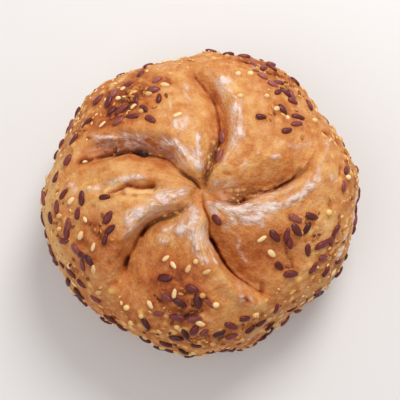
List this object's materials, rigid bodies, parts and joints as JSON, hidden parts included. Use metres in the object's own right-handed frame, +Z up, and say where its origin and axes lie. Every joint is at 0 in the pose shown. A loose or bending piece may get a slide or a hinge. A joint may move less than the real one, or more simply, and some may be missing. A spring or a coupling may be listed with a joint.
{
  "type": "multigrain kaiser roll",
  "caption": "Round bread roll with curved petals that swirl from a dimple in its top, and seeds baked onto its browned crust.",
  "frame": {"origin": "middle of the flat underside, on the surface that the roll rests on", "axes": "+Z up out of the swirled top. -Y is the side that faces the viewer in the picture, and +X is to the right there."},
  "size_m": [0.1006, 0.0962, 0.0491],
  "materials": {
    "crust": "browned bread crust with a soft sheen, golden at the rim and darker in the hollows",
    "linseed": "glossy purple-brown seed coat",
    "sesame": "satin cream seed coat",
    "millet": "glossy pale yellow grain"
  },
  "bodies": {
    "root": {"roll": "crust"}
  },
  "joints": []
}
